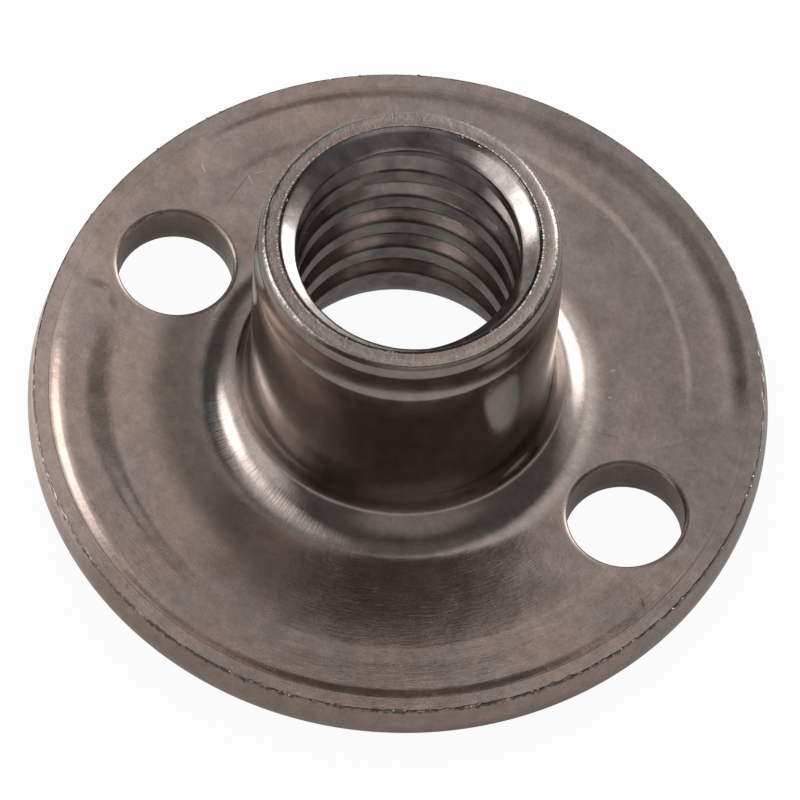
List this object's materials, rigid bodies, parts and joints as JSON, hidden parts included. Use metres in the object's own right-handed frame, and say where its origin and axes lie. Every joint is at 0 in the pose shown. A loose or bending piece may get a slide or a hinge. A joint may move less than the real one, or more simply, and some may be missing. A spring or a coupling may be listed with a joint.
{
  "type": "tee nut",
  "caption": "Round-flange screw-on tee nut: a drawn steel disc with a flared, internally threaded barrel and screw holes either side of it.",
  "frame": {"origin": "centre of the flange's underside, on the thread's axis", "axes": "+Z along the thread, from the flange up through the barrel; +X through one of the two screw holes"},
  "size_m": [0.019, 0.019, 0.0088],
  "materials": {
    "plain_steel": "plain drawn steel, satin from tumbling, darker and brighter by turns where it was worked"
  },
  "bodies": {
    "root": {"tee_nut": "plain_steel"}
  },
  "joints": []
}
